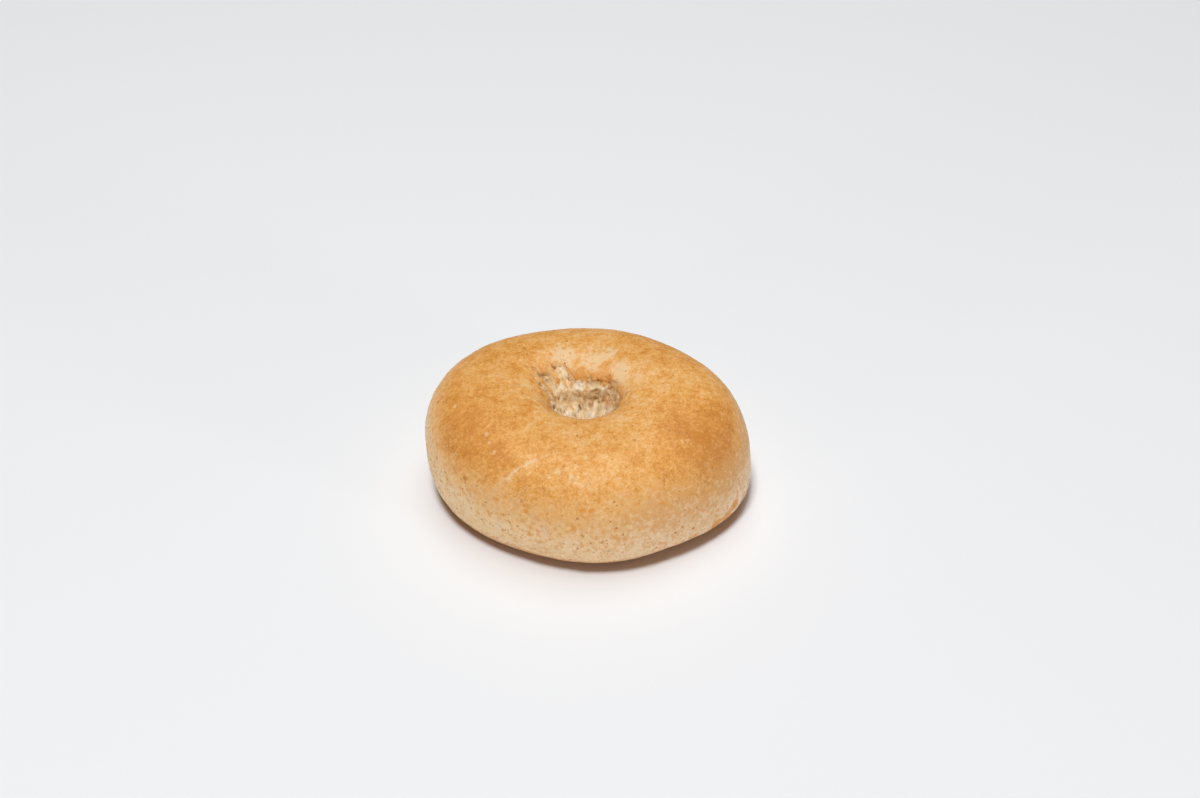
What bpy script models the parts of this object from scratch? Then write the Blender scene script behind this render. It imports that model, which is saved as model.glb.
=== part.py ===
# Whole wheat bagel, as one closed solid: a puffed ring of dough with a small torn hole through it.
# It stands on z = 0 with the middle of its plan at the origin, long way along X, +Z up, in metres.
# Angles go round the ring from +X, anticlockwise seen from above, so the front is at -90 degrees.
import math

import bpy
import numpy as np

MM = 0.001

# Plan of the ring: mean radius, then lobes as (count round the ring, height, direction of a peak)
OUTER_RADIUS = 49.7 * MM
OUTER_LOBES = ((2, 4.6 * MM, -10.8), (3, 0.5 * MM, 2.0), (4, 0.9 * MM, -4.3), (5, 0.5 * MM, -4.3))

# Height of the crest, and of the widest part, which sits low on the right and high on the left
CREST_HEIGHT = 42.9 * MM
CREST_LOBES = ((1, 1.4 * MM, -12.0), (2, 1.3 * MM, 12.8))
BELLY_HEIGHT = 16.9 * MM
BELLY_LOBES = ((1, 6.0 * MM, 178.0), (2, 1.7 * MM, 90.0))

# Where the crest stands, as a share of the outer radius
CREST_SHARE = 0.56

# Footprint: the outer edge of the flat base as a share of the outer radius, and a lifted place at front right
FOOT_SHARE = 0.74
FOOT_LOBES = ((1, 0.024, 163.0), (2, 0.033, 15.4))
LIFT_AT = -48.0
LIFT_WIDTH = 15.0
LIFT_DEPTH = 3.5 * MM

# Hole: narrowest at the waist, flared below it to the inner edge of the base
WAIST_RADIUS = 6.9 * MM
WAIST_LOBES = ((1, 0.5 * MM, 60.0), (2, 1.6 * MM, 8.0), (3, 0.3 * MM, 80.0))
WAIST_HEIGHT = 18.0 * MM
UNDER_RADIUS = 11.5 * MM
UNDER_LOBES = ((2, 1.2 * MM, 10.0), (3, 0.6 * MM, 50.0))

# Fullness of each quarter of the section: 2 is an ellipse, more is squarer
TOP_FULLNESS = 2.33
LOW_FULLNESS = 2.35
UNDER_FULLNESS = 2.0
MOUTH_FULLNESS = 3.0

# The mouth is slack at the back left, where the wall slopes in from further out
SLACK_AT = 135.0
SLACK_WIDTH = 36.0
SLACK_LOSS = 1.1

# Torn wall inside the hole: (middle of its stretch round the ring, half width, depth below the crest,
# half height, how far it stands in towards the axis)
TORN_WALL = (
    (62.0, 40.0, 4.2 * MM, 1.1 * MM, 0.8 * MM),
    (100.0, 55.0, 7.4 * MM, 1.5 * MM, 0.5 * MM),
    (80.0, 80.0, 11.5 * MM, 2.6 * MM, -0.6 * MM),
    (62.0, 40.0, 19.0 * MM, 3.6 * MM, 2.3 * MM),
    (122.0, 30.0, 18.0 * MM, 3.0 * MM, 1.5 * MM),
    (-90.0, 60.0, 15.0 * MM, 3.0 * MM, -1.0 * MM),
)
PLEATS = ((11, 0.40 * MM, 20.0), (17, 0.30 * MM, 75.0))
PLEAT_TOP = 3.5 * MM
PLEAT_BOTTOM = 20.0 * MM

# Open crease that runs up out of the hole to the back left
CREASE_AT = 118.0
CREASE_WIDTH = 8.0
CREASE_DEPTH = 1.5 * MM
CREASE_TOP = 1.0 * MM
CREASE_BOTTOM = 8.0 * MM

# Low swellings of the crust
SWELL_HEIGHT = 0.15 * MM
SWELLS = ((3, 2, 40.0), (5, 1, 200.0), (7, 3, 310.0))

# Grid: steps round the ring, and steps in each part of the section
RING_STEPS = 112
LOW_STEPS = 6
TOP_STEPS = 11
MOUTH_STEPS = 16
UNDER_STEPS = 5
BASE_STEPS = 2

CRUST_COLOR = (0.60, 0.33, 0.13, 1.0)
CRUST_ROUGHNESS = 0.62


def lobed(angle, mean, lobes):
    """A size that swells and shrinks round the ring."""
    size = np.full_like(angle, mean)
    for count, height, peak in lobes:
        size = size + height * np.cos(count * (angle - math.radians(peak)))
    return size


def near(angle, middle, width):
    """1 at the middle direction, fading to 0 about two widths away, both in degrees."""
    turn = (np.degrees(angle) - middle + 180.0) % 360.0 - 180.0
    return np.exp(-(turn / width) ** 2)


def fade(value, start, stop):
    """0 before start, 1 after stop, and an eased slope between."""
    share = np.clip((value - start) / (stop - start), 0.0, 1.0)
    return share * share * (3.0 - 2.0 * share)


def quarter(steps, fullness, rising):
    """Shares across and up along a quarter of the section, without its last point."""
    turn = np.arange(steps)[None, :] / steps * math.pi / 2.0
    if not rising:
        turn = math.pi / 2.0 - turn
    power = 2.0 / np.broadcast_to(np.asarray(fullness, float), (RING_STEPS,))[:, None]
    across = np.maximum(np.cos(turn), 0.0) ** power
    up = np.maximum(np.sin(turn), 0.0) ** power
    return across, up


def section(angle):
    """Radius and height of each point of the smooth ring, one row for each direction."""
    outer = lobed(angle, OUTER_RADIUS, OUTER_LOBES)[:, None]
    crest = lobed(angle, CREST_HEIGHT, CREST_LOBES)[:, None]
    belly = lobed(angle, BELLY_HEIGHT, BELLY_LOBES)[:, None]
    crest_radius = CREST_SHARE * outer
    foot = outer * (FOOT_SHARE + lobed(angle, 0.0, FOOT_LOBES)[:, None])
    foot = foot - LIFT_DEPTH * near(angle, LIFT_AT, LIFT_WIDTH)[:, None]
    waist = lobed(angle, WAIST_RADIUS, WAIST_LOBES)[:, None]
    under = lobed(angle, UNDER_RADIUS, UNDER_LOBES)[:, None]
    mouth_fullness = MOUTH_FULLNESS - SLACK_LOSS * near(angle, SLACK_AT, SLACK_WIDTH)

    across, up = quarter(LOW_STEPS, LOW_FULLNESS, False)
    low = foot + (outer - foot) * across, belly * (1.0 - up)
    across, up = quarter(TOP_STEPS, TOP_FULLNESS, True)
    top = crest_radius + (outer - crest_radius) * across, belly + (crest - belly) * up
    across, up = quarter(MOUTH_STEPS, mouth_fullness, False)
    mouth = crest_radius - (crest_radius - waist) * across, WAIST_HEIGHT + (crest - WAIST_HEIGHT) * up
    across, up = quarter(UNDER_STEPS, UNDER_FULLNESS, True)
    below = under - (under - waist) * across, WAIST_HEIGHT * (1.0 - up)
    along = np.arange(BASE_STEPS)[None, :] / BASE_STEPS
    base = under + (foot - under) * along, np.zeros((RING_STEPS, BASE_STEPS))

    parts = (low, top, mouth, below, base)
    radius = np.concatenate([part[0] for part in parts], axis=1)
    height = np.concatenate([part[1] for part in parts], axis=1)
    return radius, height, crest


def hole_relief(angle, depth):
    """How far the wall of the hole stands in towards the axis, by direction and depth below the crest."""
    inward = np.zeros_like(depth)
    for middle, width, level, reach, amount in TORN_WALL:
        inward = inward + amount * near(angle, middle, width) * np.exp(-((depth - level) / reach) ** 2)
    pleated = fade(depth, PLEAT_TOP, 2.0 * PLEAT_TOP) * (1.0 - fade(depth, 0.75 * PLEAT_BOTTOM, PLEAT_BOTTOM))
    inward = inward + pleated * lobed(angle, 0.0, PLEATS)
    creased = fade(depth, CREASE_TOP, 3.0 * CREASE_TOP) * (1.0 - fade(depth, CREASE_BOTTOM, 2.0 * CREASE_BOTTOM))
    return inward - CREASE_DEPTH * creased * near(angle, CREASE_AT, CREASE_WIDTH)


def swelling(angle, place):
    """Low uneven swelling of the crust; place runs once round the section."""
    height = np.zeros_like(place)
    for round_ring, round_section, start in SWELLS:
        wave = round_ring * angle + round_section * 2.0 * math.pi * place + math.radians(start)
        height = height + SWELL_HEIGHT * np.cos(wave)
    return height


def ring_points():
    """Every point of the bagel, one row for each direction round the ring."""
    angle = np.arange(RING_STEPS) / RING_STEPS * 2.0 * math.pi
    radius, height, crest = section(angle)
    first_mouth = LOW_STEPS + TOP_STEPS
    first_below = first_mouth + MOUTH_STEPS
    stations = radius.shape[1]
    rows = np.broadcast_to(angle[:, None], radius.shape)

    wall = slice(first_mouth, first_below + UNDER_STEPS)
    radius[:, wall] = radius[:, wall] - hole_relief(rows[:, wall], crest - height[:, wall])

    place = np.broadcast_to(np.arange(stations)[None, :] / stations, radius.shape)
    shell = slice(1, first_mouth)
    radius[:, shell] = radius[:, shell] + swelling(rows[:, shell], place[:, shell])

    return np.stack((radius * np.cos(rows), radius * np.sin(rows), height), axis=2)


def plan_middle(points):
    """Middle of the plan's box, which goes to the origin."""
    middle = (points.min(axis=(0, 1)) + points.max(axis=(0, 1))) / 2.0
    middle[2] = 0.0
    return middle


def ring_faces(stations):
    """Four-sided faces between neighbouring rows, closed both ways round, facing out."""
    faces = []
    for row in range(RING_STEPS):
        next_row = (row + 1) % RING_STEPS
        for station in range(stations):
            next_station = (station + 1) % stations
            faces.append((row * stations + station, next_row * stations + station,
                          next_row * stations + next_station, row * stations + next_station))
    return faces


def crust_material():
    material = bpy.data.materials.new("whole_wheat_crust")
    material.use_nodes = True
    shader = material.node_tree.nodes["Principled BSDF"]
    shader.inputs["Base Color"].default_value = CRUST_COLOR
    shader.inputs["Roughness"].default_value = CRUST_ROUGHNESS
    shader.inputs["Metallic"].default_value = 0.0
    return material


def make_bagel():
    points = ring_points()
    points = points - plan_middle(points)
    stations = points.shape[1]
    mesh = bpy.data.meshes.new("bagel")
    mesh.from_pydata(points.reshape(-1, 3).tolist(), [], ring_faces(stations))
    mesh.shade_smooth()
    mesh.materials.append(crust_material())
    mesh.validate()
    bagel = bpy.data.objects.new("bagel", mesh)
    bpy.context.collection.objects.link(bagel)
    return bagel


for old in list(bpy.data.objects):
    bpy.data.objects.remove(old, do_unlink=True)
make_bagel()
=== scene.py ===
# A whole wheat bagel on a pale studio floor.
# Directions go round the ring from +X, anticlockwise seen from above, so the front is at -90 degrees.
# A depth is measured down from the crest of the ring.
import math

import bpy
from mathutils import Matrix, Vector


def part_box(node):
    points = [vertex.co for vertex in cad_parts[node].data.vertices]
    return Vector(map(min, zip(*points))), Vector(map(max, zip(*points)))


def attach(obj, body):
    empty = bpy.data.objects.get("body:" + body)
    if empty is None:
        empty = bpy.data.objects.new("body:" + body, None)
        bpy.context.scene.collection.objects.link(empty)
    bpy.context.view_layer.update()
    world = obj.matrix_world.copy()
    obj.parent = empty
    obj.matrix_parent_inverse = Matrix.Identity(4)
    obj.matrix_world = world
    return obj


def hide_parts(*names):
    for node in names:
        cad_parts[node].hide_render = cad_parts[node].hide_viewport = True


MM = 0.001
DEGREE = math.pi / 180.0


def linear(red, green, blue):
    """A screen colour of 0 to 255 as the renderer's linear colour."""
    def channel(value):
        share = value / 255.0
        return share / 12.92 if share <= 0.04045 else ((share + 0.055) / 1.055) ** 2.4
    return (channel(red), channel(green), channel(blue), 1.0)



# Sizes of the ring, as the solid has them: lobes are (count round the ring, height, direction of a peak)
OUTER_RADIUS = 49.7 * MM
OUTER_LOBES = ((2, 4.6 * MM, -10.8), (3, 0.5 * MM, 2.0), (4, 0.9 * MM, -4.3), (5, 0.5 * MM, -4.3))
CREST_HEIGHT = 42.9 * MM
CREST_LOBES = ((1, 1.4 * MM, -12.0), (2, 1.3 * MM, 12.8))
CREST_SHARE = 0.56
BELLY_HEIGHT = 16.9 * MM
BELLY_LOBES = ((1, 6.0 * MM, 178.0), (2, 1.7 * MM, 90.0))
FOOT_SHARE = 0.74
FOOT_LOBES = ((1, 0.024, 163.0), (2, 0.033, 15.4))
LIFT_AT, LIFT_WIDTH, LIFT_DEPTH = -48.0, 15.0, 3.5 * MM
WAIST_RADIUS = 6.9 * MM
WAIST_LOBES = ((1, 0.5 * MM, 60.0), (2, 1.6 * MM, 8.0), (3, 0.3 * MM, 80.0))
WAIST_HEIGHT = 18.0 * MM
UNDER_RADIUS = 11.5 * MM
UNDER_LOBES = ((2, 1.2 * MM, 10.0), (3, 0.6 * MM, 50.0))
TOP_FULLNESS = 2.33
LOW_FULLNESS = 2.35
UNDER_FULLNESS = 2.0
MOUTH_FULLNESS = 3.0
SLACK_AT, SLACK_WIDTH, SLACK_LOSS = 135.0, 36.0, 1.1

# Torn wall of the hole: (direction, half width, depth, half height, how far it stands in)
TORN_WALL = (
    (62.0, 40.0, 4.2 * MM, 1.1 * MM, 0.8 * MM),
    (100.0, 55.0, 7.4 * MM, 1.5 * MM, 0.5 * MM),
    (80.0, 80.0, 11.5 * MM, 2.6 * MM, -0.6 * MM),
    (62.0, 40.0, 19.0 * MM, 3.6 * MM, 2.3 * MM),
    (122.0, 30.0, 18.0 * MM, 3.0 * MM, 1.5 * MM),
    (-90.0, 60.0, 15.0 * MM, 3.0 * MM, -1.0 * MM),
)
PLEATS = ((11, 0.40 * MM, 20.0), (17, 0.30 * MM, 75.0))
PLEAT_TOP, PLEAT_BOTTOM = 3.5 * MM, 20.0 * MM

# Open crease that runs down into the hole at its back left
CREASE_AT, CREASE_WIDTH, CREASE_DEPTH = 118.0, 8.0, 1.5 * MM
CREASE_TOP, CREASE_BOTTOM = 1.0 * MM, 8.0 * MM

# Scars where the torn wall has pulled apart, in millimetres: (one end, the other end, half width, depth)
SCARS = (
    ((-19.6, 14.3, 40.3), (-15.2, 8.3, 37.6), 0.5, 0.7),
    ((-15.2, 8.3, 37.6), (-11.8, 4.6, 33.8), 0.8, 1.0),
    ((-11.0, 16.4, 39.2), (-10.0, 14.6, 38.2), 0.5, 0.8),
    ((-14.3, 11.3, 37.6), (-12.2, 13.3, 37.8), 0.5, 0.8),
    ((-17.4, 14.6, 40.0), (-15.0, 12.4, 38.4), 0.35, 0.5),
    ((-16.0, 16.2, 40.2), (-14.4, 14.0, 38.8), 0.35, 0.4),
    ((-6.5, 13.0, 36.9), (-5.4, 12.4, 35.8), 0.5, 0.6),
    ((0.1, 9.4, 31.0), (0.4, 8.4, 28.8), 0.7, 1.0),
    ((3.3, 9.2, 31.6), (4.0, 7.6, 30.0), 0.5, 0.9),
    ((9.4, 4.2, 34.4), (8.9, 3.2, 31.6), 0.5, 0.8),
    ((-9.4, 7.0, 30.8), (-8.2, 6.9, 27.6), 0.7, 1.0),
    ((-11.2, 4.0, 31.6), (-10.4, 3.4, 29.6), 0.6, 0.9),
    ((-2.2, 7.6, 28.4), (-2.0, 6.8, 25.4), 0.4, 0.8),
    ((-0.7, 7.4, 28.2), (-0.6, 6.6, 26.0), 0.4, 0.8),
    ((6.6, 5.6, 31.4), (6.2, 4.6, 28.4), 0.5, 0.8),
)

# Fine stretch lines in the crust, seen from above: y = slope x + level between two values of x,
# as (slope, level, start, stop, half width, strength)
STRETCH_LINES = (
    (0.27, -28.0 * MM, -27.5 * MM, -17.0 * MM, 0.6 * MM, 1.0),
    (0.27, -28.0 * MM, -17.0 * MM, -9.0 * MM, 0.45 * MM, 0.6),
    (-0.3, -40.8 * MM, -6.0 * MM, 9.5 * MM, 0.45 * MM, 0.55),
    (0.29, 9.9 * MM, -25.0 * MM, -20.0 * MM, 0.6 * MM, 1.1),
)

# Where each part of the section ends, as a share of the way round it
SECTION_STOPS = {"low": 0.17, "top": 0.50, "mouth": 0.82, "below": 0.92, "base": 1.0}
RING_STEPS = 440
SECTION_STEPS = 224

# Where the golden top gives way to the pale side: a height with lobes, then rises of it over a stretch of the
# ring as (direction, half width, rise), and half the height over which it fades
BORDER_HEIGHT = 30.2 * MM
BORDER_LOBES = ((1, 3.2 * MM, 128.0), (2, 3.4 * MM, -4.0), (3, 0.8 * MM, -90.0))
BORDER_RISES = ((-80.0, 26.0, 2.6 * MM), (-29.0, 16.0, -4.0 * MM), (-142.0, 20.0, -2.2 * MM))
BORDER_SOFTNESS, BORDER_SOFTNESS_LOBES = 7.0 * MM, ((1, 4.4 * MM, -48.0),)

# Where the crust is torn open round the hole: a radius, then further reaches as (direction, half width, reach)
TORN_RADIUS = 11.6 * MM
TORN_REACHES = ((118.0, 10.0, 5.6 * MM), (146.0, 11.0, 7.0 * MM), (158.0, 9.0, 1.2 * MM), (134.0, 16.0, 5.5 * MM))

# The torn edge is most ragged at the back left
RAGGED_AT, RAGGED_WIDTH, RAGGED_DEPTH = 134.0, 34.0, 9.0 * MM

# Places on the crust in millimetres: (middle, reach, strength)
BROWNED = (
    ((-42.0, -14.0, 37.0), 26.0, 0.85),
    ((-33.0, -27.0, 37.5), 15.0, 0.4),
    ((42.0, -21.0, 34.0), 28.0, 1.05),
    ((30.0, -24.0, 40.5), 14.0, 0.3),
    ((-18.4, -39.5, 33.0), 9.0, 0.15),
    ((-27.0, -30.0, 38.8), 9.0, 0.7),
    ((-21.5, -37.5, 36.0), 5.0, 0.4),
    ((47.0, 0.0, 30.0), 16.0, -0.4),
)
LIGHTENED = (
    ((-9.5, 21.5, 40.8), 9.0, 0.9),
    ((1.5, 18.5, 40.8), 10.0, 0.9),
    ((12.5, 6.5, 41.5), 11.0, 1.0),
    ((-20.0, 4.0, 41.5), 9.0, 0.7),
    ((-6.3, -36.0, 39.1), 10.0, 0.9),
    ((6.0, -35.0, 40.0), 10.0, 0.7),
    ((0.0, 36.0, 41.5), 27.0, 0.9),
    ((52.0, -8.0, 27.0), 17.0, 1.3),
)
FLOURY = (
    ((-8.5, 21.0, 40.8), 8.5, 1.0),
    ((2.0, 18.0, 40.6), 8.5, 1.0),
    ((7.5, 18.5, 41.8), 6.0, 0.8),
    ((10.4, 8.4, 41.4), 7.6, 1.5),
)
TOASTED = (
    ((-3.2, 13.0, 38.0), 3.6, 1.0),
    ((0.8, 11.2, 38.2), 3.0, 0.9),
    ((4.2, 9.6, 38.6), 3.4, 1.0),
    ((6.6, 9.2, 40.0), 2.6, 0.8),
    ((-14.6, 14.2, 39.0), 3.6, 0.5),
)
# Paler crumb with painted highlight on the torn wall's ledge and its lower lumps; negative amounts darken it
PALE_AND_LIT_CRUMB = (
    ((-10.0, 10.8, 35.1), 3.2, 0.9),
    ((-6.6, 11.2, 34.9), 3.4, 1.2),
    ((-2.8, 10.6, 35.2), 3.4, 1.4),
    ((1.0, 9.2, 36.0), 3.0, 1.0),
    ((4.4, 8.0, 35.4), 3.6, 0.9),
    ((8.4, 5.8, 35.6), 3.2, 0.8),
    ((-9.2, 15.2, 38.2), 3.6, 0.8),
    ((-5.8, 15.0, 38.2), 3.4, 0.8),
    ((-7.3, 5.6, 26.8), 2.4, 0.8),
    ((-3.8, 7.0, 26.2), 1.8, 0.9),
    ((1.6, 6.5, 27.0), 2.6, 0.9),
    ((6.2, 4.0, 29.4), 2.6, 0.8),
    ((-12.2, 3.2, 33.4), 2.0, 0.8),
    ((-16.6, 11.0, 39.0), 7.0, -0.6),
    ((-12.6, 5.6, 35.0), 3.0, -0.6),
    ((-9.6, 9.6, 34.6), 2.6, 0.6),
    ((-4.0, 10.8, 35.0), 3.0, 0.6),
)

# Single specks in the skin in millimetres: (middle, reach, strength)
DARK_SPECKS = (
    ((15.2, -25.7, 42.6), 1.0, 0.8), ((-7.6, -35.2, 40.0), 0.9, 0.9), ((-14.2, -37.1, 37.4), 0.9, 0.5),
    ((-4.1, -38.3, 38.5), 0.9, 0.5), ((-21.3, -39.8, 29.1), 1.0, 0.5), ((-4.7, -45.5, 24.0), 1.0, 0.9),
    ((-1.6, -46.1, 19.7), 0.9, 0.8), ((4.6, -46.3, 17.0), 0.9, 0.9), ((6.3, -45.8, 12.8), 1.0, 0.6),
    ((1.9, -45.9, 12.4), 0.8, 0.7), ((17.8, -43.8, 13.6), 0.8, 0.6), ((19.2, -43.4, 13.9), 0.8, 0.6),
    ((-39.8, -28.3, 28.6), 1.5, 0.6), ((-21.6, 23.4, 41.0), 0.9, 0.8), ((-28.1, -18.5, 42.5), 0.8, 0.9),
    ((29.7, -38.1, 18.7), 1.1, 0.7), ((28.9, -37.1, 26.2), 1.0, 0.6),
)
ORANGE_SPECKS = (
    ((12.8, -30.4, 41.7), 1.8, 0.7), ((-22.6, -37.4, 33.4), 1.5, 0.5), ((-26.5, -37.6, 28.8), 1.3, 0.7),
    ((-19.9, -41.1, 26.0), 1.6, 0.8), ((-13.0, -43.3, 26.7), 1.4, 0.8), ((-1.7, -44.8, 29.5), 2.0, 0.8),
    ((1.3, -45.0, 29.6), 1.9, 0.8), ((-4.8, -45.6, 22.8), 1.6, 0.8), ((-18.7, -42.0, 16.2), 1.6, 0.7),
    ((20.0, -40.2, 30.8), 1.4, 0.7), ((15.6, -42.5, 29.8), 1.4, 0.6), ((7.7, -44.8, 29.0), 1.4, 0.8),
    ((9.6, -44.9, 27.6), 1.3, 0.7), ((13.4, -44.8, 23.8), 1.3, 0.6), ((-41.5, -25.9, 30.3), 1.6, 0.9),
    ((-39.8, -28.3, 28.6), 2.2, 0.9), ((-29.5, -36.5, 26.7), 1.7, 0.7), ((24.2, -39.4, 27.6), 1.5, 0.7),
    ((22.7, -38.9, 30.8), 1.4, 0.6), ((42.5, -28.0, 7.4), 4.4, 0.9), ((46.0, -24.4, 8.0), 4.2, 0.9),
    ((48.8, -21.6, 10.4), 4.0, 0.9), ((52.1, -15.8, 8.6), 3.4, 0.7), ((35.1, -33.5, 7.1), 3.0, 0.7),
    ((-7.6, -35.2, 40.0), 1.7, 0.7), ((0.8, 15.7, 40.4), 1.3, 0.4), ((-3.6, 17.9, 40.3), 1.6, 0.4),
    ((6.9, 19.5, 42.5), 1.3, 0.4), ((8.3, -46.1, 19.3), 2.2, 0.5), ((11.9, -45.6, 17.5), 1.8, 0.6),
)
CREAM_SPECKS = (
    ((-9.5, -36.8, 38.9), 2.0, 0.8), ((-12.0, -37.7, 37.5), 1.3, 0.9), ((-5.3, -38.5, 38.2), 1.8, 0.8),
    ((-3.8, -35.5, 40.2), 1.5, 0.6), ((-32.6, -21.1, 41.2), 1.5, 0.7), ((-30.1, -27.5, 39.1), 1.2, 0.7),
    ((-31.8, -24.4, 40.2), 1.1, 0.6), ((-43.8, -6.0, 39.8), 1.2, 0.7), ((30.5, -24.3, 41.0), 1.3, 0.6),
    ((32.1, -23.5, 40.7), 1.1, 0.6), ((33.4, -24.5, 39.5), 1.1, 0.5), ((8.3, -37.6, 38.7), 1.3, 0.6),
    ((9.5, -38.7, 37.6), 1.1, 0.6),
)

# Sizes of the noises that shade the crust
BROAD, PATCH, MOTTLE, FLECK, GRIT, PORE = 18.0 * MM, 4.5 * MM, 1.5 * MM, 0.9 * MM, 0.55 * MM, 0.22 * MM

# Colours of the golden top, from its brownest tone to its lightest, and what lies on it
GOLDEN_STOPS = (
    (0.02, linear(198, 122, 44)),
    (0.25, linear(212, 140, 54)),
    (0.42, linear(225, 156, 68)),
    (0.56, linear(233, 168, 84)),
    (0.72, linear(240, 183, 109)),
    (0.92, linear(244, 200, 144)),
)
GOLDEN_LIGHT_FLECK, GOLDEN_BROWN_FLECK = linear(243, 189, 118), linear(216, 140, 60)
FLOUR = linear(242, 206, 156)
STRETCHED_SKIN = linear(243, 212, 168)

# Colours of the tan border, the pale side, and the toasted and browned places below them
TAN_LEFT, TAN_RIGHT, TAN_MOTTLE = linear(243, 192, 124), linear(222, 172, 112), linear(216, 156, 90)
BORDER_BROWN_FLECK, BORDER_CREAM_FLECK = linear(230, 162, 84), linear(250, 214, 164)
SIDE_LEFT, SIDE_RIGHT, SIDE_FAR_RIGHT = linear(255, 221, 168), linear(242, 214, 178), linear(255, 238, 210)
SIDE_BLOTCH, SIDE_LIGHT_BLOTCH = linear(230, 181, 120), linear(250, 228, 198)
SIDE_TAN_FLECK, SIDE_LIGHT_FLECK = linear(238, 190, 124), linear(246, 226, 202)
TOAST, UNDERSIDE = linear(222, 154, 68), linear(190, 122, 58)

# Colours of the bran in and under the skin
FINE_BRAN, SMALL_BRAN, LARGE_BRAN = linear(218, 154, 86), linear(212, 144, 74), linear(202, 130, 62)
ORANGE_SPECK, CREAM_SPECK, DARK_SPECK = linear(230, 149, 50), linear(243, 208, 156), linear(150, 112, 76)
FLAKE_STOPS = (
    (0.0, linear(164, 116, 70)),
    (0.14, linear(196, 132, 68)),
    (0.5, linear(212, 140, 60)),
    (1.0, linear(230, 174, 104)),
)

# Colours of the torn crumb, from its darkest tone to its lightest; the dark end also serves painted shade in its
# pits, the light end painted highlight on its ledge
CRUMB_STOPS = (
    (0.0, linear(158, 122, 84)),
    (0.2, linear(210, 168, 116)),
    (0.42, linear(236, 201, 148)),
    (0.65, linear(248, 227, 188)),
    (0.95, linear(255, 248, 236)),
)
CRUMB_ORANGE, CRUMB_TOAST, TEAR_TOAST = linear(226, 158, 72), linear(224, 151, 62), linear(216, 142, 56)
SCAR_SHADE, STRAND_SHADE = linear(112, 82, 54), linear(150, 114, 78)

# Camera: the photo's viewing angle, in the frame's own metres
CAMERA_LENS = 60.0
CAMERA_ELEVATION = 40.0
CAMERA_AIM = Vector((3.9, 20.3, 21.2)) * MM
CAMERA_DISTANCE = 689.0 * MM

# Studio: the floor, a dim warm room, and lights as (name, place, size, power, tint)
FLOOR_SIZE, FLOOR_COLOR = 6.0, (0.888, 0.902, 0.916, 1.0)
ROOM_COLOR, ROOM_STRENGTH = (1.0, 0.72, 0.45, 1.0), 0.07
LIGHTS = (
    ("softbox", (0.1, 0.4, 2.0), 1.3, 13.0, (0.98, 1.0, 1.02)),
    ("key", (-0.2, -0.56, 2.0), 0.4, 27.6, (0.98, 1.0, 1.03)),
    ("right_card", (1.2, -0.8, 0.16), 0.26, 3.8, (0.98, 0.96, 0.93)),
    ("left_card", (-0.95, -1.06, 0.14), 0.26, 2.1, (1.0, 0.93, 0.84)),
)


class Flow:
    """A socket that Python's signs work on: each sign adds one Math node to the socket's tree."""

    def __init__(self, maker, socket):
        self.maker = maker
        self.socket = socket

    def math(self, operation, *values):
        sockets = dict(enumerate((self,) + values))
        return self.maker.make("ShaderNodeMath", {"operation": operation}, sockets)

    def __add__(self, other):
        return self.math("ADD", other)

    __radd__ = __add__

    def __mul__(self, other):
        return self.math("MULTIPLY", other)

    def __sub__(self, other):
        return self.math("SUBTRACT", other)

    def __rsub__(self, other):
        return self * -1.0 + other

    def __truediv__(self, other):
        return self.math("DIVIDE", other)

    def __pow__(self, other):
        return self.math("POWER", other)


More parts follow.
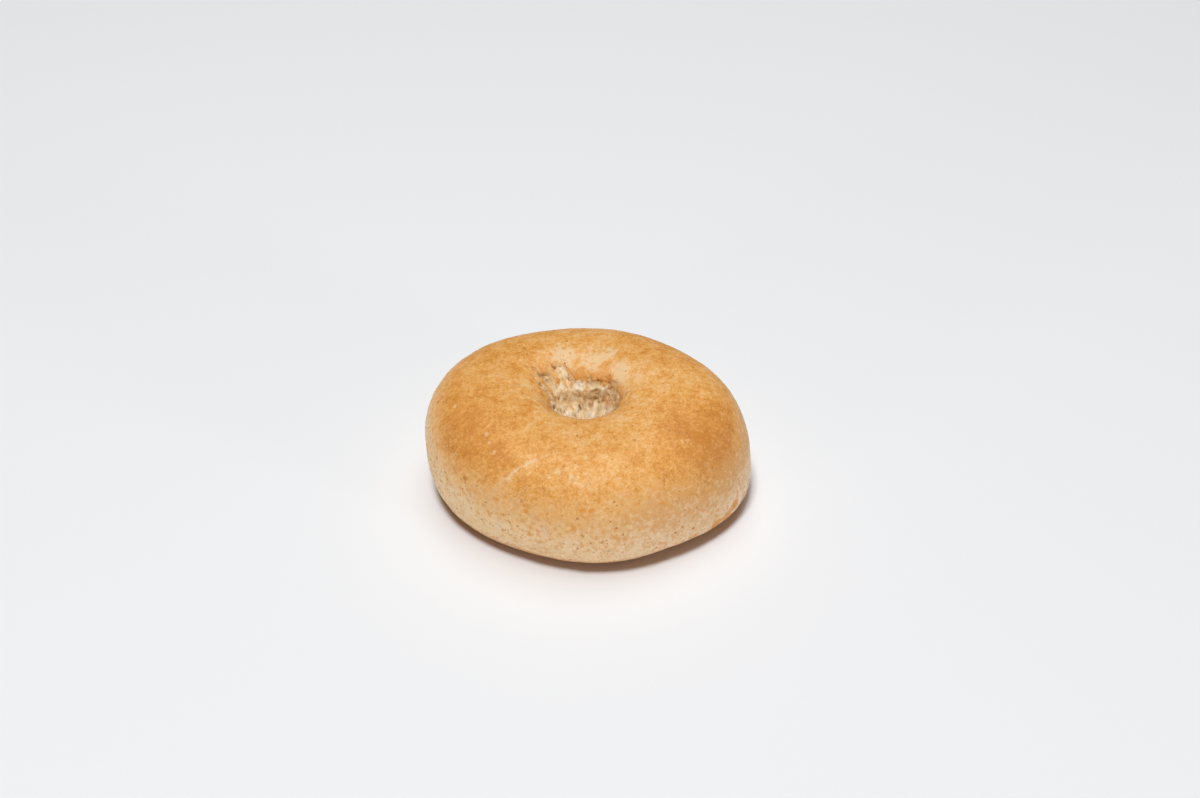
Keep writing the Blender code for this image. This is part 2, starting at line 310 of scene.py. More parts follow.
class Maker:
    """Adds nodes to one tree. Socket values are numbers, tuples, materials or Flows."""

    def __init__(self, tree):
        self.tree = tree

    def node(self, kind, settings, sockets):
        made = self.tree.nodes.new(kind)
        for name, value in settings.items():
            if name == "stops":
                self.set_stops(made.color_ramp, value)
            else:
                setattr(made, name, value)
        for key, value in sockets.items():
            if isinstance(value, Flow):
                self.tree.links.new(value.socket, made.inputs[key])
            else:
                made.inputs[key].default_value = value
        return made

    @staticmethod
    def set_stops(ramp, stops):
        """Stops of a ramp, as (share, colour), in rising order."""
        while len(ramp.elements) < len(stops):
            ramp.elements.new(1.0)
        for element, (share, color) in zip(ramp.elements, stops):
            element.position = share
            element.color = color

    def make(self, kind, settings, sockets, output=0):
        return Flow(self, self.node(kind, settings, sockets).outputs[output])

    def vector(self, operation, first, second=(0.0, 0.0, 0.0)):
        output = "Value" if operation in ("LENGTH", "DISTANCE", "DOT_PRODUCT") else "Vector"
        return self.make("ShaderNodeVectorMath", {"operation": operation}, {0: first, 1: second}, output)

    def scale(self, vector, factor):
        return self.make("ShaderNodeVectorMath", {"operation": "SCALE"}, {0: vector, "Scale": factor})

    def combine(self, x, y, z):
        return self.make("ShaderNodeCombineXYZ", {}, {"X": x, "Y": y, "Z": z})

    def separate(self, vector):
        made = self.node("ShaderNodeSeparateXYZ", {}, {"Vector": vector})
        return [Flow(self, output) for output in made.outputs]

    def noise(self, vector, size, detail=2.0, roughness=0.5, output="Fac"):
        """Noise whose lumps are about size across, from 0 to 1."""
        sockets = {"Vector": vector, "Scale": 1.0 / size, "Detail": detail, "Roughness": roughness}
        return self.make("ShaderNodeTexNoise", {"noise_dimensions": "3D"}, sockets, output)

    def cells(self, vector, size):
        """Cells about size across: the distance from the middle of each, and a draw of 0 to 1 for it."""
        cell = self.node("ShaderNodeTexVoronoi", {"feature": "F1"}, {"Vector": vector, "Scale": 1.0 / size})
        draw = self.separate(Flow(self, cell.outputs["Color"]))[0]
        return Flow(self, cell.outputs["Distance"]), draw

    def fade(self, value, start, stop):
        """0 before start, 1 past stop, and an eased slope between; start may be the larger."""
        settings = {"interpolation_type": "SMOOTHSTEP"}
        return self.make("ShaderNodeMapRange", settings, {"Value": value, "From Min": start, "From Max": stop})

    def mix_color(self, first, second, share):
        settings = {"data_type": "RGBA", "blend_type": "MIX"}
        return self.make("ShaderNodeMix", settings, {0: share, 6: first, 7: second}, 2)

    def ramp(self, value, stops):
        """The colour of a tone, between stops given as (share, colour)."""
        return self.make("ShaderNodeValToRGB", {"stops": stops}, {"Fac": value})

    def lobed(self, angle, mean, lobes):
        """A size that swells and shrinks round the ring."""
        size = mean
        for count, height, peak in lobes:
            size = size + ((angle - peak * DEGREE) * float(count)).math("COSINE") * height
        return size

    def near(self, angle, middle, width):
        """1 at the middle direction, fading to 0 about two widths away, both in degrees."""
        turn = (angle / DEGREE - middle).math("WRAP", 180.0, -180.0)
        return self.bell(turn, 0.0, width)

    def bell(self, value, middle, width):
        """1 at the middle, fading to 0 about two widths away."""
        share = (value - middle) / width
        return (share * share * -1.0).math("EXPONENT")


def geometry_tree(name, sizes):
    """A new Geometry Nodes tree with the named sizes as its inputs: {name: (socket type, value)}."""
    tree = bpy.data.node_groups.new(name, "GeometryNodeTree")
    tree.interface.new_socket("Geometry", in_out="INPUT", socket_type="NodeSocketGeometry")
    tree.interface.new_socket("Geometry", in_out="OUTPUT", socket_type="NodeSocketGeometry")
    for size_name, (socket_type, _) in sizes.items():
        tree.interface.new_socket(size_name, in_out="INPUT", socket_type=socket_type)
    maker = Maker(tree)
    source = tree.nodes.new("NodeGroupInput")
    given = {output.name: Flow(maker, output) for output in source.outputs if output.name}
    return tree, maker, given


def end_tree(maker, shape, material):
    """Ends a tree in Realize Instances and Set Material."""
    shape = maker.make("GeometryNodeRealizeInstances", {}, {"Geometry": shape})
    shape = maker.make("GeometryNodeSetMaterial", {}, {"Geometry": shape, "Material": material})
    result = maker.tree.nodes.new("NodeGroupOutput")
    maker.tree.links.new(shape.socket, result.inputs[0])


def grown(name, tree, sizes, start_mesh):
    """Runs a tree on a mesh and returns a new plain object that holds the result."""
    carrier = bpy.data.objects.new(name + "_carrier", start_mesh)
    bpy.context.collection.objects.link(carrier)
    modifier = carrier.modifiers.new("grow", "NODES")
    modifier.node_group = tree
    identifiers = {item.name: item.identifier for item in tree.interface.items_tree if item.in_out == "INPUT"}
    for size_name, (_, value) in sizes.items():
        modifier[identifiers[size_name]] = value
    evaluated = carrier.evaluated_get(bpy.context.evaluated_depsgraph_get())
    mesh = bpy.data.meshes.new_from_object(evaluated)
    mesh.name = name
    bpy.data.objects.remove(carrier, do_unlink=True)
    piece = bpy.data.objects.new(name, mesh)
    bpy.context.collection.objects.link(piece)
    return piece


def hole_relief(maker, angle, depth):
    """How far the wall of the hole stands in towards the axis."""
    inward = 0.0
    for middle, width, level, reach, amount in TORN_WALL:
        inward = maker.near(angle, middle, width) * maker.bell(depth, level, reach) * amount + inward
    pleated = maker.fade(depth, PLEAT_TOP, 2.0 * PLEAT_TOP) * maker.fade(depth, PLEAT_BOTTOM, 0.75 * PLEAT_BOTTOM)
    inward = inward + pleated * maker.lobed(angle, 0.0, PLEATS)
    creased = maker.fade(depth, CREASE_TOP, 3.0 * CREASE_TOP) * maker.fade(depth, 2.0 * CREASE_BOTTOM, CREASE_BOTTOM)
    return inward - creased * maker.near(angle, CREASE_AT, CREASE_WIDTH) * CREASE_DEPTH


def store(maker, shape, name, value):
    """Keeps a value with each point of the shape."""
    settings = {"data_type": "FLOAT", "domain": "POINT"}
    return maker.make("GeometryNodeStoreNamedAttribute", settings, {"Geometry": shape, "Name": name, "Value": value})


def stored_value(maker, name):
    return maker.make("GeometryNodeInputNamedAttribute", {"data_type": "FLOAT"}, {"Name": name})


def stretch_lines(maker, spot):
    """1 along the fine lines where the crust has stretched, 0 away from them."""
    across, back, height = maker.separate(spot)
    lines = 0.0
    for slope, level, start, stop, width, strength in STRETCH_LINES:
        wander = (maker.noise(spot, 3.0 * MM, 2.0) - 0.5) * (1.6 * MM)
        along = maker.fade(across, start - 2.0 * MM, start + 2.0 * MM)
        along = along * maker.fade(across, stop + 3.0 * MM, stop - 3.0 * MM)
        lines = maker.bell(back + wander, across * slope + level, width) * along * strength + lines
    return lines * maker.fade(height, 28.0 * MM, 31.0 * MM)


def scarred(maker, spot):
    """Depth of the scars at a place, each a rounded groove between its two ends."""
    wander = maker.vector("SUBTRACT", maker.noise(spot, 2.2 * MM, 2.0, 0.5, "Color"), (0.5, 0.5, 0.5))
    spot = maker.vector("ADD", spot, maker.scale(wander, 3.0 * MM))
    depth = 0.0
    for first, last, width, amount in SCARS:
        start = Vector(first) * MM
        run = Vector(last) * MM - start
        from_start = maker.vector("SUBTRACT", spot, tuple(start))
        share = maker.vector("DOT_PRODUCT", from_start, tuple(run / run.length_squared))
        share = share.math("MAXIMUM", 0.0).math("MINIMUM", 1.0)
        off = maker.vector("LENGTH", maker.vector("SUBTRACT", from_start, maker.scale(tuple(run), share)))
        depth = maker.bell(off, 0.0, width * MM) * amount + depth
    return depth


def section_progress(maker, along):
    """How far each part of the section has run, from 0 to 1, at a share of the way round it."""
    progress = {}
    start = 0.0
    for part, stop in SECTION_STOPS.items():
        sockets = {"Value": along, "From Min": start, "From Max": stop}
        progress[part] = maker.make("ShaderNodeMapRange", {}, sockets)
        start = stop
    return progress


def ring_section(maker, given, angle, along):
    """Radius and height of the ring at a direction and a share of the way round the section, and 1 in the hole."""
    outer = maker.lobed(angle, given["Outer Radius"], OUTER_LOBES)
    crest = maker.lobed(angle, given["Crest Height"], CREST_LOBES)
    belly = maker.lobed(angle, given["Belly Height"], BELLY_LOBES)
    crest_radius = outer * CREST_SHARE
    foot = outer * maker.lobed(angle, FOOT_SHARE, FOOT_LOBES) - maker.near(angle, LIFT_AT, LIFT_WIDTH) * LIFT_DEPTH
    waist = maker.lobed(angle, given["Waist Radius"], WAIST_LOBES)
    waist_height = given["Waist Height"]
    under = maker.lobed(angle, given["Under Radius"], UNDER_LOBES)
    slack = maker.near(angle, SLACK_AT, SLACK_WIDTH) * SLACK_LOSS
    progress = section_progress(maker, along)

    def gain(part, power):
        """Rises fast and levels off: the sine side of a quarter."""
        return (progress[part] * (math.pi / 2.0)).math("SINE") ** power

    def turn(part, power):
        """Starts level and ends steep: what the cosine side of a quarter has lost."""
        return 1.0 - ((progress[part] * (math.pi / 2.0)).math("COSINE") ** power)

    # Each part of the section adds its own step in radius and height to the ones before it
    mouth_power = (MOUTH_FULLNESS - slack) ** -1.0 * 2.0
    radius = foot + (outer - foot) * gain("low", 2.0 / LOW_FULLNESS)
    radius = radius - (outer - crest_radius) * turn("top", 2.0 / TOP_FULLNESS)
    radius = radius - (crest_radius - waist) * gain("mouth", mouth_power)
    radius = radius + (under - waist) * turn("below", 2.0 / UNDER_FULLNESS)
    radius = radius + (foot - under) * progress["base"]
    height = belly * turn("low", 2.0 / LOW_FULLNESS)
    height = height + (crest - belly) * gain("top", 2.0 / TOP_FULLNESS)
    height = height - (crest - waist_height) * turn("mouth", mouth_power)
    height = height - waist_height * gain("below", 2.0 / UNDER_FULLNESS)
    inside = progress["mouth"].math("GREATER_THAN", 0.0) * maker.fade(progress["base"], 0.02, 0.0)
    radius = radius - hole_relief(maker, angle, crest - height) * inside
    return radius, height, inside


def tear_masks(maker, angle, place, radius, height, inside):
    """Where the crust is torn open: the torn crumb, the way past the tear's edge in millimetres, and strands."""
    streak = maker.combine(angle.math("COSINE") * 10.0, angle.math("SINE") * 10.0, height * 60.0)
    strand = maker.noise(streak, 0.9, 3.0, 0.65) - 0.5
    edge = TORN_RADIUS
    for middle, width, reach in TORN_REACHES:
        edge = maker.near(angle, middle, width) * reach + edge
    ragged = strand * (maker.near(angle, RAGGED_AT, RAGGED_WIDTH) * RAGGED_DEPTH + 2.0 * MM)
    ragged = ragged + (maker.noise(place, 1.3 * MM, 3.0, 0.6) - 0.5) * (3.2 * MM)
    tear_edge = edge + ragged - radius
    kept = maker.fade(strand * 1.4 + maker.noise(place, 2.6 * MM, 2.0) - 0.5, 0.04, 0.16)
    kept = kept * maker.fade(radius, 10.5 * MM, 13.5 * MM)
    torn = maker.fade(tear_edge, -0.3 * MM, 0.5 * MM) * inside * (1.0 - kept)
    torn = torn * maker.fade(height, 5.0 * MM, 9.0 * MM)
    return {"torn": torn, "tear_edge": tear_edge / MM, "strand": strand}


def side_masks(maker, angle, height, inside):
    """How far below the golden top's border, in shares of its softness, with the pale side and the underside."""
    border = maker.lobed(angle, BORDER_HEIGHT, BORDER_LOBES)
    for middle, width, rise in BORDER_RISES:
        border = maker.near(angle, middle, width) * rise + border
    softness = maker.lobed(angle, BORDER_SOFTNESS, BORDER_SOFTNESS_LOBES)
    drop = (border - height) / softness
    pale = maker.fade(drop, -1.0, 1.0) * (1.0 - inside)
    return {"drop": drop - inside * 5.0, "pale": pale, "below": maker.fade(height, 8.0 * MM, 2.0 * MM)}


def skin_relief(maker, spot, grain):
    """Rise of the crust: low swellings, grain, strands near the tear and sunk stretch lines."""
    around_hole = maker.fade(stored_value(maker, "tear_edge"), -5.0, 0.0) * stored_value(maker, "hole")
    skin = (maker.noise(spot, 7.0 * MM, 2.0) - 0.5) * (grain * 5.0)
    skin = skin + (maker.noise(spot, 2.2 * MM, 2.0) - 0.5) * (grain * 3.0)
    skin = skin + (maker.noise(spot, 0.9 * MM, 1.0) - 0.5) * (grain * 1.6)
    skin = skin + stored_value(maker, "strand") * around_hole * (grain * 6.0)
    return skin - stretch_lines(maker, spot) * (grain * 2.0)


def crumb_relief(maker, spot):
    """Rise of the torn crumb, as a share of its depth: fibres, lumps, strands and pits."""
    stretched = maker.vector("MULTIPLY", spot, (1.0, 1.0, 0.35))
    fibre = maker.noise(stretched, 1.3 * MM, 3.0, 0.6) - 0.5
    lump = maker.noise(spot, 3.2 * MM, 2.0) - 0.5
    pit = maker.fade(maker.cells(spot, 1.9 * MM)[0], 0.45, 0.1)
    return fibre * 1.3 + lump * 1.6 + stored_value(maker, "strand") * 1.1 - pit * 0.5 - 0.45


def bagel_tree(material):
    """The ring: a grid bent round twice, then raised and sunk along its own normals."""
    sizes = {
        "Outer Radius": ("NodeSocketFloat", OUTER_RADIUS),
        "Crest Height": ("NodeSocketFloat", CREST_HEIGHT),
        "Belly Height": ("NodeSocketFloat", BELLY_HEIGHT),
        "Waist Radius": ("NodeSocketFloat", WAIST_RADIUS),
        "Waist Height": ("NodeSocketFloat", WAIST_HEIGHT),
        "Under Radius": ("NodeSocketFloat", UNDER_RADIUS),
        "Crust Grain": ("NodeSocketFloat", 0.10 * MM),
        "Crumb Depth": ("NodeSocketFloat", 0.7 * MM),
        "Scar Depth": ("NodeSocketFloat", 1.0 * MM),
        "Ring Steps": ("NodeSocketInt", RING_STEPS),
        "Section Steps": ("NodeSocketInt", SECTION_STEPS),
    }
    tree, maker, given = geometry_tree("bagel_ring", sizes)
    grid_sockets = {"Size X": 1.0, "Size Y": 1.0, "Vertices X": given["Ring Steps"] + 1.0,
                    "Vertices Y": given["Section Steps"] + 1.0}
    shape = maker.make("GeometryNodeMeshGrid", {}, grid_sockets)
    across, along, _ = maker.separate(maker.make("GeometryNodeInputPosition", {}, {}))
    angle = (across + 0.5) * (2.0 * math.pi)
    radius, height, inside = ring_section(maker, given, angle, along + 0.5)
    place = maker.combine(radius * angle.math("COSINE"), radius * angle.math("SINE"), height)

    # Masks are kept with the shape before it is bent, and its two seams are then closed
    stored = tear_masks(maker, angle, place, radius, height, inside)
    stored.update(side_masks(maker, angle, height, inside), hole=inside)
    for mask, value in stored.items():
        shape = store(maker, shape, mask, value)
    shape = maker.make("GeometryNodeSetPosition", {}, {"Geometry": shape, "Position": place})
    shape = maker.make("GeometryNodeMergeByDistance", {}, {"Geometry": shape, "Distance": 0.002 * MM})

    # Relief along the normals, faded out on the flat base
    spot = maker.make("GeometryNodeInputPosition", {}, {})
    normal = maker.make("GeometryNodeInputNormal", {}, {})
    crumb = stored_value(maker, "torn")
    tear = crumb_relief(maker, spot)
    scar = scarred(maker, spot) * stored_value(maker, "hole")
    rise = skin_relief(maker, spot, given["Crust Grain"]) * (1.0 - crumb)
    rise = rise + tear * crumb * given["Crumb Depth"] - scar * given["Scar Depth"]
    spot_height = maker.separate(spot)[2]
    rise = rise * maker.fade(spot_height, 0.1 * MM, 2.0 * MM)
    # How far the crumb sinks in its pits; the crumb's colour darkens there as painted shade
    shape = store(maker, shape, "sunk", maker.fade(tear, 0.1, -1.2) * crumb)
    shape = store(maker, shape, "scar", scar)
    shape = maker.make("GeometryNodeSetPosition", {}, {"Geometry": shape, "Offset": maker.scale(normal, rise)})
    shape = maker.make("GeometryNodeSetShadeSmooth", {}, {"Geometry": shape, "Shade Smooth": True})
    end_tree(maker, shape, material)
    return tree, sizes


def new_material(name):
    material = bpy.data.materials.new(name)
    material.use_nodes = True
    maker = Maker(material.node_tree)
    shader = material.node_tree.nodes["Principled BSDF"]
    spot = maker.make("ShaderNodeTexCoord", {}, {}, "Object")
    return material, maker, shader, spot


def attribute(maker, name):
    return maker.make("ShaderNodeAttribute", {"attribute_type": "GEOMETRY", "attribute_name": name}, {}, "Fac")


def random_spots(maker, spot, size, least, most):
    """Spots about size apart whose radii vary from least to most, as shares of that size."""
    distance, draw = maker.cells(spot, size)
    radius = draw * draw * (most - least) + least
    return maker.fade(distance / radius, 1.0, 0.45)


def distance_from(maker, spot, middle):
    """Distance from a place given in millimetres."""
    return maker.vector("DISTANCE", spot, tuple(value * MM for value in middle))


def spots(maker, spot, places):
    """Sum of soft spots at the listed places, each fading to 0 at its reach."""
    total = 0.0
    for middle, reach, amount in places:
        total = maker.fade(distance_from(maker, spot, middle), reach * MM, 0.0) * amount + total
    return total


def specks(maker, spot, places):
    """Sum of flat-topped specks at the listed places."""
    total = 0.0
    for middle, reach, amount in places:
        off = distance_from(maker, spot, middle)
        total = maker.fade(off, 0.74 * reach * MM, 0.36 * reach * MM) * amount + total
    return total


class Dough:
    """What every part of the crust's finish reads: stored masks, noises, and places moved about by noise."""

    def __init__(self, maker, spot):
        self.maker = maker
        self.spot = spot
        self.across, _, self.height = maker.separate(spot)
        for name in ("torn", "pale", "drop", "below", "sunk", "scar", "tear_edge", "hole"):
            setattr(self, name, attribute(maker, name))
        self.broad = maker.noise(spot, BROAD, 2.0, 0.5) - 0.5
        self.patchy = maker.noise(spot, PATCH, 3.0, 0.55) - 0.5
        self.mottle = maker.noise(spot, MOTTLE, 4.0, 0.65) - 0.5
        self.grit = maker.noise(spot, GRIT, 2.0, 0.6) - 0.5
        self.fleck = maker.noise(spot, FLECK, 3.0, 0.7) - 0.5
        half = (0.5, 0.5, 0.5)
        wobble = maker.noise(spot, 1.4 * MM, 2.0, 0.5, "Color")
        fine_wobble = maker.vector("SUBTRACT", maker.noise(spot, 0.8 * MM, 2.0, 0.5, "Color"), half)
        self.speck_spot = maker.vector("ADD", spot, maker.scale(wobble, 1.1 * MM))
        self.ragged_spot = maker.vector("ADD", spot, maker.scale(fine_wobble, 2.2 * MM))
        self.torn_spot = maker.vector("ADD", spot, maker.scale(maker.vector("SUBTRACT", wobble, half), 6.0 * MM))

        # Streaks that run down the torn wall and out along the tear
        self.level_spot = maker.vector("MULTIPLY", spot, (1.0, 1.0, 0.0))
        outwards = maker.scale(maker.vector("NORMALIZE", self.level_spot), 10.0 * MM)
        streak_spot = maker.vector("ADD", outwards, maker.combine(0.0, 0.0, self.height * 0.16))
        self.streak = maker.noise(streak_spot, 0.8 * MM, 3.0, 0.6) - 0.5


def golden_top(dough):
    """Golden top, browner and lighter in places, with floury patches and fine stretch lines."""
    maker, spot = dough.maker, dough.spot
    browned = spots(maker, spot, BROWNED)
    rim = maker.bell(maker.vector("LENGTH", dough.level_spot), 16.0 * MM, 8.0 * MM)
    lightened = spots(maker, spot, LIGHTENED) + rim * 0.8 + maker.fade(dough.pale, 0.0, 0.4) * 1.2
    varied = dough.broad * 0.35 + dough.patchy * 0.5 + dough.mottle * 0.9 + dough.grit * 0.75
    tone = varied * maker.fade(browned, 1.5, 0.2) + varied * 0.35 + 0.54 - browned * 0.36 + lightened * 0.12
    golden = maker.ramp(tone, GOLDEN_STOPS)
    flecked = dough.fleck + dough.patchy * 0.3
    golden = maker.mix_color(golden, GOLDEN_LIGHT_FLECK, maker.fade(flecked, 0.05, 0.12) * 0.4)
    golden = maker.mix_color(golden, GOLDEN_BROWN_FLECK, maker.fade(flecked, -0.07, -0.14) * 0.4)
    dusted = spots(maker, dough.torn_spot, FLOURY)
    floury = maker.fade(dusted + dough.patchy * 1.5 + dough.mottle * 1.1 + dough.grit * 0.5 - 0.42, -0.1, 0.5)
    golden = maker.mix_color(golden, FLOUR, floury * maker.fade(dusted, 0.05, 0.3) * 0.85)
    stretched = stretch_lines(maker, spot) * maker.fade(dough.mottle + dough.patchy * 0.5, -0.25, 0.12)
    return maker.mix_color(golden, STRETCHED_SKIN, stretched * 0.85)


def pale_side(dough):
    """Pale side, creamier to the left and greyer to the right, blotched with bran under the skin."""
    maker = dough.maker
    side = maker.mix_color(SIDE_LEFT, SIDE_RIGHT, maker.fade(dough.across, -35.0 * MM, 35.0 * MM))
    side = maker.mix_color(side, SIDE_FAR_RIGHT, maker.fade(dough.across, 38.0 * MM, 52.0 * MM) * 0.85)
    blotch_spot = maker.vector("MULTIPLY", dough.speck_spot, (1.0, 1.0, 0.85))
    blotch = maker.noise(blotch_spot, 3.6 * MM, 4.0, 0.65) - 0.5
    side = maker.mix_color(side, SIDE_BLOTCH, maker.fade(blotch, -0.04, 0.2) * 0.7)
    side = maker.mix_color(side, SIDE_LIGHT_BLOTCH, maker.fade(dough.mottle * 0.7 + dough.patchy, 0.0, 0.2) * 0.5)
    side = maker.mix_color(side, SIDE_TAN_FLECK, maker.fade(dough.fleck, -0.03, -0.1) * 0.5)
    return maker.mix_color(side, SIDE_LIGHT_FLECK, maker.fade(dough.fleck, 0.03, 0.1) * 0.5)


def bordered(dough, golden, side):
    """The golden top, then a tan band, then the pale side, flecked brown and cream where they meet."""
    maker = dough.maker
    border = dough.drop + dough.patchy * 1.3 + dough.mottle * 1.4 + dough.grit * 0.9
    mottled = dough.patchy + dough.mottle * 1.2 + dough.grit * 0.6
    tan = maker.mix_color(TAN_LEFT, TAN_RIGHT, maker.fade(dough.across, -15.0 * MM, 28.0 * MM))
    tan = maker.mix_color(tan, TAN_MOTTLE, maker.fade(mottled, -0.05, 0.3) * 0.6)
    crust = maker.mix_color(golden, tan, maker.fade(border, -0.8, 0.4) * 0.85)
    crust = maker.mix_color(crust, side, maker.fade(border, 0.1, 1.6))
    fleck_spot = maker.vector("ADD", dough.speck_spot, (0.021, 0.017, 0.005))
    fleck = maker.noise(fleck_spot, 1.7 * MM, 3.0, 0.65) - 0.5
    lower = maker.bell(dough.drop, 0.7, 1.5) * (1.0 - dough.hole)
    crust = maker.mix_color(crust, BORDER_BROWN_FLECK, maker.fade(fleck, 0.02, 0.12) * lower * 0.75)
    return maker.mix_color(crust, BORDER_CREAM_FLECK, maker.fade(fleck, -0.03, -0.13) * lower * 0.5)


def toasted_base(dough, crust):
    """Toasted patches low down, most to the right, and a browned underside."""
    maker = dough.maker
    patches = dough.patchy + dough.mottle * 0.9 + dough.grit * 0.5
    toast = maker.fade(dough.height, 14.0 * MM, 5.0 * MM) * maker.fade(patches, 0.02, 0.22)
    toast = toast * maker.fade(dough.across, 10.0 * MM, 40.0 * MM) + toast * 0.45
    crust = maker.mix_color(crust, TOAST, toast * 0.8)
    return maker.mix_color(crust, UNDERSIDE, maker.fade(dough.below + dough.patchy * 0.8, 0.0, 0.9) * 0.9)


def bran_spots(dough, crust, small, large):
    """Bran in and under the skin: spots by chance, then the single specks at their places."""
    maker = dough.maker
    fine = random_spots(maker, dough.speck_spot, 1.0 * MM, 0.0, 0.34)
    dark_spot = maker.vector("ADD", dough.speck_spot, (0.013, 0.007, 0.019))
    dark = random_spots(maker, dark_spot, 6.5 * MM, 0.0, 0.07) * 0.1
    layers = (
        (FINE_BRAN, fine * 0.5),
        (SMALL_BRAN, small * 0.75),
        (LARGE_BRAN, large * 0.6),
        (ORANGE_SPECK, specks(maker, dough.ragged_spot, ORANGE_SPECKS)),
        (CREAM_SPECK, specks(maker, dough.ragged_spot, CREAM_SPECKS) * 0.75),
        (DARK_SPECK, dark + specks(maker, dough.ragged_spot, DARK_SPECKS) * 0.75),
    )
    for color, share in layers:
        crust = maker.mix_color(crust, color, share)
    return crust


def torn_crumb(dough, crust):
    """Torn crumb in the hole: tan, paler with painted highlight on its ledge and lumps, painted light low down,
    painted shade in pits and scars, toasted where the crust ends.
    """
    maker, patchy, mottle, streak = dough.maker, dough.patchy, dough.mottle, dough.streak
    # Paler crumb and painted highlight on the ledge and the lower lumps
    pale_and_lit = spots(maker, dough.spot, PALE_AND_LIT_CRUMB) * (mottle * 1.4 + 1.0)
    # Painted light low in the hole, on the lumps that catch light there
    painted_light_low = maker.fade(dough.height, 34.0 * MM, 28.0 * MM)
    tone = mottle * 0.6 + dough.grit * 0.6 + patchy * 0.4 + streak * 1.2 + 0.46
    # The tone drops where the crumb sinks (sunk): painted shade in its pits
    crumb = maker.ramp(tone + pale_and_lit * 0.28 + painted_light_low * 0.17 - dough.sunk * 0.12, CRUMB_STOPS)
    crumb = maker.mix_color(crumb, CRUMB_ORANGE, maker.fade(patchy - mottle * 0.5, 0.09, 0.18) * 0.5)
    edge = maker.bell(dough.tear_edge, -0.4, 0.9) * dough.hole * maker.fade(patchy + mottle, -0.08, 0.12)
    crust = maker.mix_color(crust, TEAR_TOAST, edge * 0.6)
    color = maker.mix_color(crust, crumb, dough.torn)
    toasted = spots(maker, dough.torn_spot, TOASTED) * maker.fade(patchy + mottle, -0.2, 0.0)
    color = maker.mix_color(color, CRUMB_TOAST, maker.fade(toasted + streak, 0.1, 0.5) * 0.8)
    color = maker.mix_color(color, SCAR_SHADE, maker.fade(dough.scar + mottle * 0.8, 0.2, 0.75) * 0.8)
    lined = maker.fade(dough.tear_edge, -5.0, -0.5) * dough.hole * maker.fade(streak, 0.08, 0.18)
    lined = lined * maker.fade(dough.across, 0.0, -12.0 * MM)
    return maker.mix_color(color, STRAND_SHADE, lined * 0.7)


def link_finish(maker, shader, sockets):
    """Links each Flow to its socket of the shader."""
    for name, flow in sockets.items():
        maker.tree.links.new(flow.socket, shader.inputs[name])


def crust_material():
    material, maker, shader, spot = new_material("whole_wheat_crust")
    dough = Dough(maker, spot)
    small = random_spots(maker, dough.ragged_spot, 2.1 * MM, 0.0, 0.26)
    large = random_spots(maker, dough.ragged_spot, 4.2 * MM, 0.02, 0.17)
    crust = toasted_base(dough, bordered(dough, golden_top(dough), pale_side(dough)))
    color = torn_crumb(dough, bran_spots(dough, crust, small, large))
    roughness = dough.mottle * 0.3 + 0.62 + dough.torn * 0.25
    pores = maker.noise(spot, PORE, 1.0) * 0.15
    relief = dough.mottle * 0.6 + dough.grit * 0.45 + pores - small * 0.1 - large * 0.12
    bump = maker.make("ShaderNodeBump", {}, {"Height": relief, "Strength": 0.75, "Distance": 0.4 * MM})
    link_finish(maker, shader, {"Base Color": color, "Roughness": roughness, "Normal": bump})
    return material


def bran_material():
    material, maker, shader, spot = new_material("bran")
    shade = attribute(maker, "shade") + (maker.noise(spot, 0.4 * MM, 2.0) - 0.5) * 0.4
    bump = maker.make("ShaderNodeBump", {}, {"Height": shade, "Strength": 0.4, "Distance": 0.1 * MM})
    link_finish(maker, shader, {"Base Color": maker.ramp(shade, FLAKE_STOPS), "Normal": bump})
    shader.inputs["Roughness"].default_value = 0.65
    return material


def chance(maker, low, high, seed):
    """A draw between low and high for each point."""
    return maker.make("FunctionNodeRandomValue", {"data_type": "FLOAT"}, {2: low, 3: high, 8: seed}, 1)


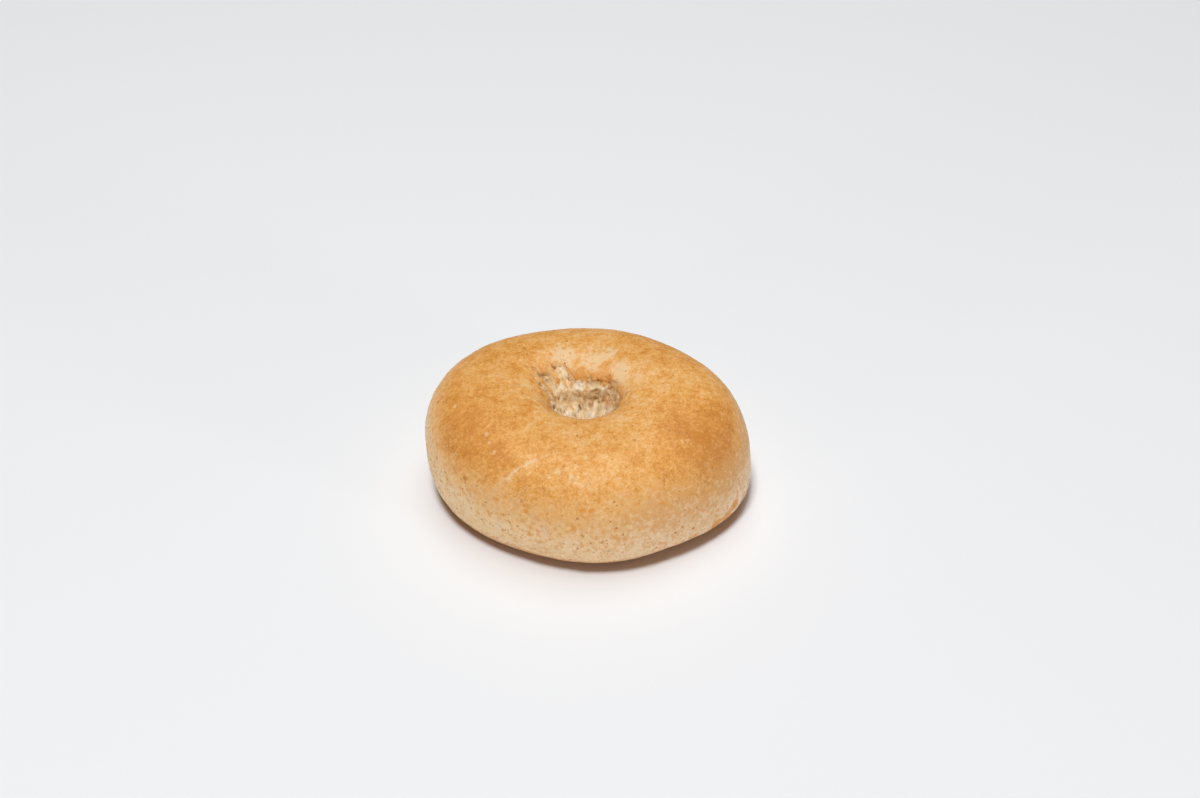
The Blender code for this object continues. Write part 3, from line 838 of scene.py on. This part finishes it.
def bran_tree(material):
    """Thin flakes of bran set into the skin, flat along it, each turned and sized by chance."""
    sizes = {
        "Flakes per Square Metre": ("NodeSocketFloat", 42000.0),
        "Length": ("NodeSocketFloat", 0.42 * MM),
        "Thickness": ("NodeSocketFloat", 0.09 * MM),
        "Raggedness": ("NodeSocketFloat", 0.3 * MM),
        "Seed": ("NodeSocketInt", 12),
    }
    tree, maker, given = geometry_tree("bran_flakes", sizes)
    _, _, height = maker.separate(maker.make("GeometryNodeInputPosition", {}, {}))
    density = given["Flakes per Square Metre"] * maker.fade(height, 0.5 * MM, 2.0 * MM)
    density = density * (stored_value(maker, "pale") * 0.8 + 0.6) * (1.0 - stored_value(maker, "torn"))
    scatter = maker.node("GeometryNodeDistributePointsOnFaces", {"distribute_method": "RANDOM"},
                         {"Mesh": given["Geometry"], "Density": density, "Seed": given["Seed"]})
    points, turn = Flow(maker, scatter.outputs["Points"]), Flow(maker, scatter.outputs["Rotation"])
    points = store(maker, points, "shade", chance(maker, 0.0, 1.0, 5) ** 0.6)
    flake = maker.make("GeometryNodeMeshIcoSphere", {}, {"Radius": 1.0, "Subdivisions": 2})
    spin = maker.combine(0.0, 0.0, chance(maker, 0.0, 2.0 * math.pi, 6))
    turn = maker.make("FunctionNodeRotateRotation", {"rotation_space": "LOCAL"}, {0: turn, 1: spin})
    length = given["Length"] * (chance(maker, 0.45, 1.0, 7) ** 2.0 * 1.3 + 0.1)
    size = maker.combine(length, length * chance(maker, 0.45, 0.95, 8), given["Thickness"])
    sockets = {"Points": points, "Instance": flake, "Rotation": turn, "Scale": size}
    flakes = maker.make("GeometryNodeInstanceOnPoints", {}, sockets)
    flakes = maker.make("GeometryNodeRealizeInstances", {}, {"Geometry": flakes})
    spot = maker.make("GeometryNodeInputPosition", {}, {})
    ragged = maker.vector("SUBTRACT", maker.noise(spot, 0.5 * MM, 2.0, 0.6, "Color"), (0.5, 0.5, 0.5))
    sockets = {"Geometry": flakes, "Offset": maker.scale(ragged, given["Raggedness"])}
    end_tree(maker, maker.make("GeometryNodeSetPosition", {}, sockets), material)
    return tree, sizes


def make_bagel():
    tree, sizes = bagel_tree(crust_material())
    piece = grown("bagel_crust", tree, sizes, bpy.data.meshes.new("ring_start"))
    low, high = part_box("bagel")
    corners = [vertex.co for vertex in piece.data.vertices]
    for axis in range(2):
        found = (min(corner[axis] for corner in corners) + max(corner[axis] for corner in corners)) / 2.0
        shift = (low[axis] + high[axis]) / 2.0 - found
        for vertex in piece.data.vertices:
            vertex.co[axis] += shift
    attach(piece, "root")
    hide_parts("bagel")
    return piece


def make_bran(bagel):
    tree, sizes = bran_tree(bran_material())
    piece = grown("bran_flakes", tree, sizes, bagel.data.copy())
    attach(piece, "root")
    return piece


def make_camera():
    camera = bpy.data.cameras.new("photo_view")
    camera.lens = CAMERA_LENS
    camera.sensor_width = 36.0
    holder = bpy.data.objects.new("photo_view", camera)
    elevation = CAMERA_ELEVATION * DEGREE
    forward = Vector((0.0, math.cos(elevation), -math.sin(elevation)))
    holder.location = CAMERA_AIM - forward * CAMERA_DISTANCE
    holder.rotation_euler = (math.pi / 2.0 - elevation, 0.0, 0.0)
    bpy.context.collection.objects.link(holder)
    bpy.context.scene.camera = holder


def area_light(name, place, size, power, tint):
    lamp = bpy.data.lights.new(name, "AREA")
    lamp.size = size
    lamp.energy = power
    lamp.color = tint
    holder = bpy.data.objects.new(name, lamp)
    holder.location = place
    holder.rotation_euler = (-Vector(place)).to_track_quat("-Z", "Y").to_euler()
    bpy.context.collection.objects.link(holder)


def make_floor():
    bpy.ops.mesh.primitive_plane_add(size=FLOOR_SIZE, location=(0.0, 0.0, -0.05 * MM))
    floor = bpy.context.object
    floor.name = "studio_floor"
    material, _, shader, _ = new_material("floor_paper")
    shader.inputs["Base Color"].default_value = FLOOR_COLOR
    shader.inputs["Roughness"].default_value = 0.9
    shader.inputs["Specular IOR Level"].default_value = 0.1
    floor.data.materials.append(material)


def make_studio():
    make_floor()
    world = bpy.data.worlds.new("studio")
    world.use_nodes = True
    background = world.node_tree.nodes["Background"]
    background.inputs["Color"].default_value = ROOM_COLOR
    background.inputs["Strength"].default_value = ROOM_STRENGTH
    bpy.context.scene.world = world
    for name, place, size, power, tint in LIGHTS:
        area_light(name, place, size, power, tint)
    bpy.context.scene.view_settings.view_transform = "Standard"


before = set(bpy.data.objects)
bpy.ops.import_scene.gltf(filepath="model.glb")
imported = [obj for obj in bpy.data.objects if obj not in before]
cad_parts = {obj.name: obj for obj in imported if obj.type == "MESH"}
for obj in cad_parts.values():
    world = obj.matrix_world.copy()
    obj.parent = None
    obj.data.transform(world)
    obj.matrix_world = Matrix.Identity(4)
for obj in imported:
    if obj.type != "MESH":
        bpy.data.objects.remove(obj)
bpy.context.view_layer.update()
make_camera()
make_studio()
make_bran(make_bagel())
